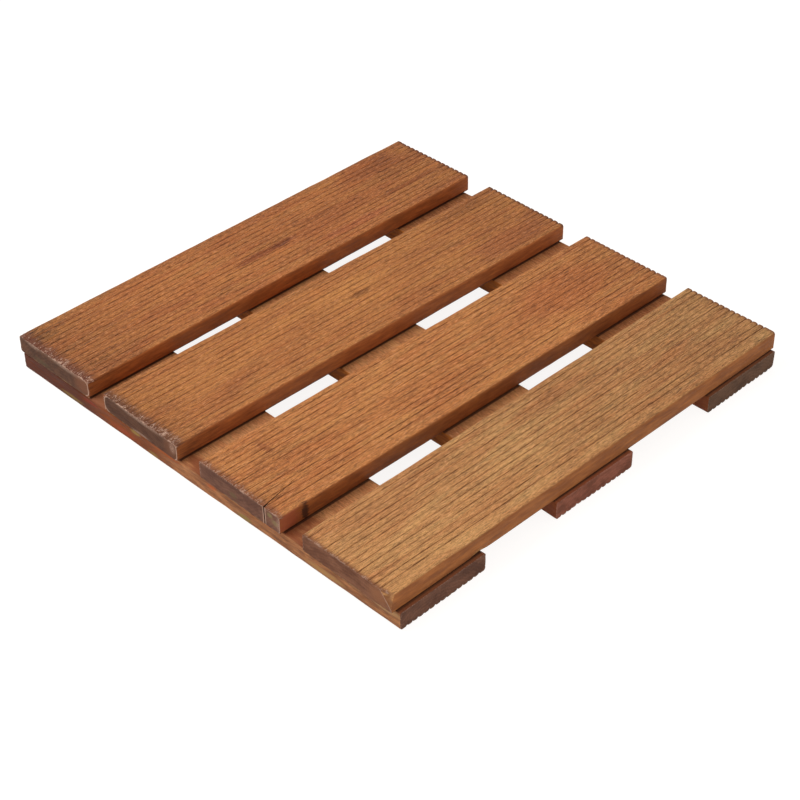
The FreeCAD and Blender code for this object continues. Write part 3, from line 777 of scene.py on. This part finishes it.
# Looks of the boards: sRGB tones, strengths, reaches in millimetres, and lists of single marks.
# A mark is a place (u, v, w), its reach (u, v, w) and its tone or strength. What a board's own
# look doesn't name is as in BASE_LOOK.
BASE_LOOK = {
    "red": (176, 104, 66), "gold": (186, 126, 80), "fibre": (210, 154, 114), "dark": (84, 42, 20),
    "lifted": 0.45, "fleck": 2.0, "groove_dirt_and_shade": 0.72, "knot": (58, 28, 14),
    "ramps": (), "tints": (), "veins": (), "stains": (), "knots": (), "contacts": (),
    # Tones of the sides, the painted contact shadow on the battens, and strength of the sides' grain
    "edge": (158, 98, 56), "edge_dark": (104, 52, 26), "contact_shade": (62, 24, 8), "side_fine": 1.0,
    "side_tints": (), "side_runs": (), "patches": (),
    # Painted shade with some dirt at the slats' feet: tone, height and strength; a batten's foot tone is
    # painted shade on its back beyond the deck
    "foot": (26, 8, 3), "foot_height": 2.8, "foot_depth": 0.85,
    "torn": 0.8, "torn_tone": (206, 168, 146), "torn_base": (90, 52, 36),
    "end": (124, 88, 72), "end_dark": (96, 64, 52), "ring": 3.2, "pith": (10.0, -60.0),
    "hair_reach": 2.1, "fringe": (166, 132, 88), "end_tints": (), "end_fuzz": (),
    "end_lines": (), "end_patches": (), "end_arcs": (), "end_breaks": (),
}
LOOKS = {
    "slat_1": {
        "shift": 3.0, "red": (170, 99, 53), "gold": (176, 113, 60),
        "tints": [((16, -4, 19), (50, 9, 12), -0.2), ((0, 50, 19), (400, 9, 20), -0.15),
                  ((0, -50, 19), (330, 9, 20), 0.06), ((-238, 38, 19), (30, 24, 12), -0.34)],
        "ramps": [(-120, -235, -0.24), (120, 215, -0.13)], "fleck": 2.3, "torn_base": (96, 50, 36),
        "veins": [((8, -7.5, 19), (52, 6, 12), (140, 72, 34)), ((24, -9, 19), (14, 4, 12), (112, 56, 27)),
                  ((86, 4, 19), (44, 3, 12), (142, 80, 38)), ((186, 36, 19), (54, 18, 20), (156, 88, 46)),
                  ((200, -17, 19), (62, 4, 20), (140, 76, 36)), ((110, -34, 19), (70, 7, 20), (172, 98, 56))],
        "edge": (166, 90, 40), "edge_dark": (144, 76, 31),
        "side_tints": [((-250, -52, 10), (60, 9, 20), -0.25)],
        "torn": 0.9, "pith": (-22.0, -48.0), "end": (110, 74, 55), "end_dark": (86, 58, 44),
        "end_tints": [((-250, -52, 12), (9, 26, 16), 0.35)], "hair_reach": 3.2,
        "end_fuzz": [((-250, -18, 17.5), (4, 34, 4.5)), ((-250, 30, 17), (4, 16, 4))],
        "end_arcs": [(-1, 7.0, 0.95)],
        "end_patches": [((-250, 20, 4), (4, 16, 4), (92, 78, 56)),
                        ((-250, -43, 11), (4, 18, 14), (136, 84, 58))],
    },
    "slat_2": {
        "shift": 17.0, "red": (175, 106, 57), "gold": (183, 121, 65),
        "edge": (174, 99, 49), "edge_dark": (156, 86, 42), "torn": 0.95, "groove_dirt_and_shade": 0.62,
        "side_tints": [((-250, -52, 10), (60, 9, 20), -0.45)],
        "pith": (14.0, -70.0), "end": (104, 69, 51), "end_dark": (84, 54, 40),
        "tints": [((0, 48, 19), (400, 8, 20), -0.1)], "ramps": [(-190, -240, -0.12), (40, 235, -0.09)],
        "veins": [((22, 5, 19), (17, 5, 12), (128, 76, 34)), ((195, -32, 19), (66, 20, 20), (167, 98, 54)),
                  ((195, 39, 19), (46, 9, 20), (158, 97, 49))],
        "end_arcs": [(1, 8.0, 1.0), (-1, 5.0, 0.9)], "hair_reach": 3.2,
        "end_fuzz": [((-250, 0, 1.5), (4, 18, 2.2)), ((-250, -46, 12), (4, 6, 8)),
                     ((-250, 0, 17.5), (4, 46, 4))],
        "end_patches": [((-250, -43, 10), (4, 13, 14), (132, 84, 60))],
    },
    "slat_3": {
        "shift": 29.0, "red": (184, 112, 61), "gold": (189, 127, 71),
        "edge": (152, 87, 40), "edge_dark": (134, 74, 34), "torn": 0.7, "pith": (30.0, 84.0),
        "end": (128, 88, 70), "end_dark": (104, 68, 54),
        "tints": [((-238, -28, 19), (30, 16, 20), -0.22), ((-210, -8, 19), (12, 5, 20), -0.3)],
        "ramps": [(140, 240, -0.15)], "foot_height": 2.4,
        "veins": [((-198, 27, 19), (5, 12, 20), (150, 86, 44)), ((165, 4, 19), (80, 36, 20), (180, 106, 57))],
        "knots": [((-221.5, -52, 9), (5, 3.2, 15))],
        "patches": [((-240, -52, 9), (17, 6, 22), (158, 80, 50))],
        "end_lines": [-34.1, -31.3], "torn_base": (122, 72, 48), "end_arcs": [(-1, 3.5, 0.8)],
        "end_patches": [((-250, -40, 14), (4, 4.5, 3.5), (150, 138, 88)),
                        ((-250, -46, 9), (4, 5.5, 4), (150, 132, 90)),
                        ((-250, 8, 7), (4, 7, 4), (108, 92, 62))],
        "end_fuzz": [((-250, -50, 10), (4, 3, 10))], "end_tints": [((-250, -48, 12), (9, 20, 16), 0.3)],
    },
    "slat_4": {
        "shift": 43.0, "red": (186, 124, 74), "gold": (195, 145, 90), "dark": (104, 62, 32),
        "edge": (160, 98, 50), "edge_dark": (142, 83, 41), "torn": 0.5, "pith": (-6.0, -90.0),
        "end": (138, 92, 68), "end_dark": (112, 70, 50), "torn_base": (124, 76, 48),
        "ramps": [(-160, -20, -0.11), (130, 235, -0.1)], "fleck": 1.9,
        "foot_height": 1.4, "foot_depth": 0.97,
        "stains": [((-250, -47, 10), (8, 9, 10.5), (130, 78, 44))],
        "end_breaks": [((-39.0, 18.8), (-52.5, 2.5))],
        "end_patches": [((-250, -38, 10), (4, 16, 14), (166, 110, 74))],
        "side_tints": [((-250, -52, 10), (90, 9, 20), 0.1), ((60, -52, 10), (60, 9, 20), -0.12)],
        "knots": [((-50, -25.5, 19), (2.6, 0.9, 2))],
    },
    "left_batten": {
        "shift": 57.0, "fleck": 1.4, "red": (186, 118, 72), "gold": (196, 138, 88), "foot": (122, 66, 40),
        "edge": (176, 118, 74), "edge_dark": (152, 94, 56), "pith": (-15.0, 70.0),
        "side_runs": [(30, 76, (131, 64, 18)), (128, 176, (88, 36, 9))],
        "stains": [((-64, -60, 0), (142, 54, 2.4), (134, 68, 36)),
                   ((134, -56, 0), (34, 27, 2.4), (140, 82, 54))],
        "patches": [((40, -50, 4), (34, 6, 3), (178, 90, 38)), ((104, -50, 12), (26, 6, 4), (158, 66, 28)),
                    ((-236, -50, 5), (20, 6, 4), (206, 160, 108)),
                    ((178, -50, 14), (20, 6, 3), (138, 108, 54)),
                    ((150, -50, 5), (16, 6, 3), (134, 46, 22)), ((-160, -50, 13), (30, 6, 4), (190, 142, 86)),
                    ((60, -50, 15), (10, 6, 3), (150, 116, 52)), ((-20, -50, 6), (9, 6, 3), (196, 96, 40)),
                    ((84, -50, 4), (9, 6, 3), (168, 136, 66)), ((-62, -50, 14), (12, 6, 3.4), (152, 128, 66)),
                    ((-96, -50, 4), (12, 6, 3), (190, 104, 50))],
        "ramps": [(-100, -150, 0.06)],
        "end": (116, 78, 60), "end_dark": (90, 58, 44), "torn": 0.35, "side_fine": 2.0,
    },
    "middle_batten": {
        "shift": 71.0, "fleck": 1.3, "red": (184, 118, 72), "gold": (194, 136, 84), "foot": (140, 71, 44),
        # Side tones: the batten's own colour, raised partly as painted bounce light from the floor
        "edge": (200, 120, 46), "edge_dark": (168, 94, 34), "pith": (20.0, 82.0), "torn": 0.35,
        "patches": [((-240, -50, 9), (60, 8, 30), (122, 56, 31))],
        "end": (146, 88, 68), "end_dark": (114, 66, 48), "ramps": [(-90, -120, -0.06)],
    },
    "right_batten": {
        "shift": 83.0, "fleck": 1.3, "red": (168, 102, 60), "gold": (178, 118, 70), "foot": (110, 63, 36),
        # Side tones: the batten's own colour, raised partly as painted bounce light from the floor
        "edge": (196, 118, 46), "edge_dark": (163, 92, 34), "pith": (-2.0, 66.0), "torn": 0.35,
        "patches": [((-240, -50, 9), (60, 8, 30), (118, 55, 31))],
        "end": (104, 75, 56), "end_dark": (80, 56, 41), "tints": [((136, 0, 0), (50, 70, 30), -0.2)],
    },
}


def slat_feet(batten):
    """Where the slats' near edges cross a batten: u at the batten's middle, slope and width of the painted
    shadow line.
    """
    feet = []
    for name, slat in SLATS.items():
        slope = math.tan(math.radians(slat["turn"]))
        edge = slat["y"] - SLAT_SIZE[1] / 2 + slope * batten["x"] - BATTEN_Y
        feet.append((edge, slope - math.tan(math.radians(batten["turn"])), CONTACT_SHADE_WIDTH[name]))
    return feet


def make_board(name, size, cup, place, node):
    """Makes one board, carves it, and puts it in the place of its node."""
    look = {**BASE_LOOK, **LOOKS[name], "cup": cup, "slat": name in SLATS}
    look["torn_reach"] = TORN_REACH.get(name, CLEAN_REACH)
    if name in BATTENS:
        look["contacts"] = slat_feet(BATTENS[name])
    materials = [timber(f"{name}_timber", look, size), end_grain(f"{name}_end", look, size)]
    if name == SPLIT["board"]:
        materials.append(crack(f"{name}_split"))
    mesh = board_mesh(name, size, cup, materials)
    outward(mesh)
    if name == SPLIT["board"]:
        mesh = carve(mesh, split_cutter(materials))
    if name == SPLINTER["board"]:
        mesh = carve(mesh, splinter_cutter(materials))
    if name in BATTENS:
        mesh = carve(mesh, dent_cutter(materials))
    mesh.name = name
    mesh.shade_smooth()
    mesh.set_sharp_from_angle(angle=SHARP_ANGLE)
    board = bpy.data.objects.new(name, mesh)
    bpy.context.scene.collection.objects.link(board)
    board.matrix_world = place
    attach(board, "root")
    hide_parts(node)


def slat_place(slat):
    """On the battens, with its ribs up and u along +X."""
    move = Matrix.Translation((0, slat["y"] * MM, THICKNESS * MM))
    return move @ Matrix.Rotation(math.radians(slat["turn"]), 4, "Z")


def batten_place(batten):
    """On the ground, turned over a diagonal: ribs down, u along +Y and v along +X."""
    diagonal = math.radians(45 + batten["turn"] / 2)
    axis = Vector((math.cos(diagonal), math.sin(diagonal), 0))
    move = Matrix.Translation((batten["x"] * MM, BATTEN_Y * MM, THICKNESS * MM))
    return move @ Matrix.Rotation(math.pi, 4, axis)


for name, slat in SLATS.items():
    cup = (CUP_FACE, CUP_BACK[name])
    make_board(name, SLAT_SIZE, cup, slat_place(slat), slat["node"])
for name, batten in BATTENS.items():
    make_board(name, BATTEN_SIZE, (0.0, 0.0), batten_place(batten), batten["node"])

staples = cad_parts["staples"]
staples.data.materials.clear()
staples.data.materials.append(wire())


# Camera, fitted to the outlines in the photograph

FOCAL_PIXELS = 1902.11
IMAGE_WIDTH = 800
SENSOR = 36.0
AZIMUTH, ELEVATION, ROLL = (math.radians(angle) for angle in (-44.177, 37.999, -0.643))
TARGET = Vector((-0.03480, -0.03886, 0.0))
DISTANCE = 1.75768


def make_camera():
    """The photograph's camera, which looks at TARGET from its front left."""
    level = math.cos(ELEVATION)
    back = Vector((math.sin(AZIMUTH) * level, -math.cos(AZIMUTH) * level, math.sin(ELEVATION)))
    right = Vector((0, 0, 1)).cross(back).normalized()
    up = back.cross(right)
    right, up = (
        right * math.cos(ROLL) + up * math.sin(ROLL), up * math.cos(ROLL) - right * math.sin(ROLL))
    data = bpy.data.cameras.new("camera")
    data.sensor_width = SENSOR
    data.lens = FOCAL_PIXELS / IMAGE_WIDTH * SENSOR
    data.clip_end = 50
    camera = bpy.data.objects.new("camera", data)
    turn = Matrix((right, up, back)).transposed().to_4x4()
    camera.matrix_world = Matrix.Translation(TARGET + back * DISTANCE) @ turn
    bpy.context.scene.collection.objects.link(camera)
    bpy.context.scene.camera = camera


make_camera()


# Studio


def area_lamp(name, place, aim, size, power, colour):
    data = bpy.data.lights.new(name, "AREA")
    data.shape = "SQUARE"
    data.size = size
    data.energy = power
    data.color = colour
    lamp = bpy.data.objects.new(name, data)
    lamp.location = place
    lamp.rotation_euler = (Vector(place) - Vector(aim)).to_track_quat("Z", "Y").to_euler()
    bpy.context.scene.collection.objects.link(lamp)


def seen_rays(tree):
    """1 for rays that show the backdrop itself: from the camera, a reflection or through glass."""
    path = tree.nodes.new("ShaderNodeLightPath")
    total = path.outputs["Is Camera Ray"]
    for key in ("Is Glossy Ray", "Is Transmission Ray"):
        add = tree.nodes.new("ShaderNodeMath")
        add.operation = "MAXIMUM"
        tree.links.new(total, add.inputs[0])
        tree.links.new(path.outputs[key], add.inputs[1])
        total = add.outputs[0]
    return total


def make_floor():
    """A glowing floor that takes shadows, though only its plain pale colour lights the part."""
    mesh = bpy.data.meshes.new("floor")
    side, count = 8.0, 9
    steps = np.linspace(-side / 2, side / 2, count)
    points = [(x, y, 0.0) for y in steps for x in steps]
    faces = []
    for i in range(count - 1):
        for j in range(count - 1):
            first = i * count + j
            faces.append((first, first + 1, first + count + 1, first + count))
    mesh.from_pydata(points, [], faces)
    floor = bpy.data.objects.new("floor", mesh)
    bpy.context.scene.collection.objects.link(floor)
    tree = Tree("floor")
    glow = tree.node("ShaderNodeEmission", {"Color": (0.9, 0.885, 0.873, 1.0), "Strength": 1.0}).outputs[0]
    shaded = tree.node("ShaderNodeBsdfDiffuse", {"Color": (0.25, 0.24, 0.23, 1.0)}).outputs[0]
    shown = tree.tree.nodes.new("ShaderNodeAddShader")
    tree.tree.links.new(glow, shown.inputs[0])
    tree.tree.links.new(shaded, shown.inputs[1])
    pale = tree.node("ShaderNodeBsdfDiffuse", {"Color": (0.8, 0.79, 0.78, 1.0)}).outputs[0]
    mix = tree.tree.nodes.new("ShaderNodeMixShader")
    tree.tree.links.new(seen_rays(tree.tree), mix.inputs[0])
    tree.tree.links.new(pale, mix.inputs[1])
    tree.tree.links.new(shown.outputs[0], mix.inputs[2])
    tree.node("ShaderNodeOutputMaterial", {"Surface": mix.outputs[0]})
    mesh.materials.append(tree.material)


def make_world():
    """White where it is seen, and a softer light on the part."""
    world = bpy.data.worlds.new("studio")
    world.use_nodes = True
    tree = world.node_tree
    tree.nodes.clear()
    lit = tree.nodes.new("ShaderNodeBackground")
    lit.inputs["Color"].default_value = (1.0, 0.985, 0.97, 1.0)
    lit.inputs["Strength"].default_value = 0.5
    seen = tree.nodes.new("ShaderNodeBackground")
    seen.inputs["Color"].default_value = (1.0, 1.0, 1.0, 1.0)
    mix = tree.nodes.new("ShaderNodeMixShader")
    tree.links.new(seen_rays(tree), mix.inputs[0])
    tree.links.new(lit.outputs[0], mix.inputs[1])
    tree.links.new(seen.outputs[0], mix.inputs[2])
    out = tree.nodes.new("ShaderNodeOutputWorld")
    tree.links.new(mix.outputs[0], out.inputs[0])
    bpy.context.scene.world = world


make_floor()
make_world()
DECK_MIDDLE = (0.0, 0.0, 0.02)
area_lamp("key", (-0.75, 0.62, 1.65), DECK_MIDDLE, 0.8, 16.0, (1.0, 0.985, 0.96))
area_lamp("fill", (-0.6, -1.9, 0.9), DECK_MIDDLE, 1.4, 9.0, (0.97, 0.985, 1.0))

bpy.context.scene.view_settings.view_transform = "Standard"
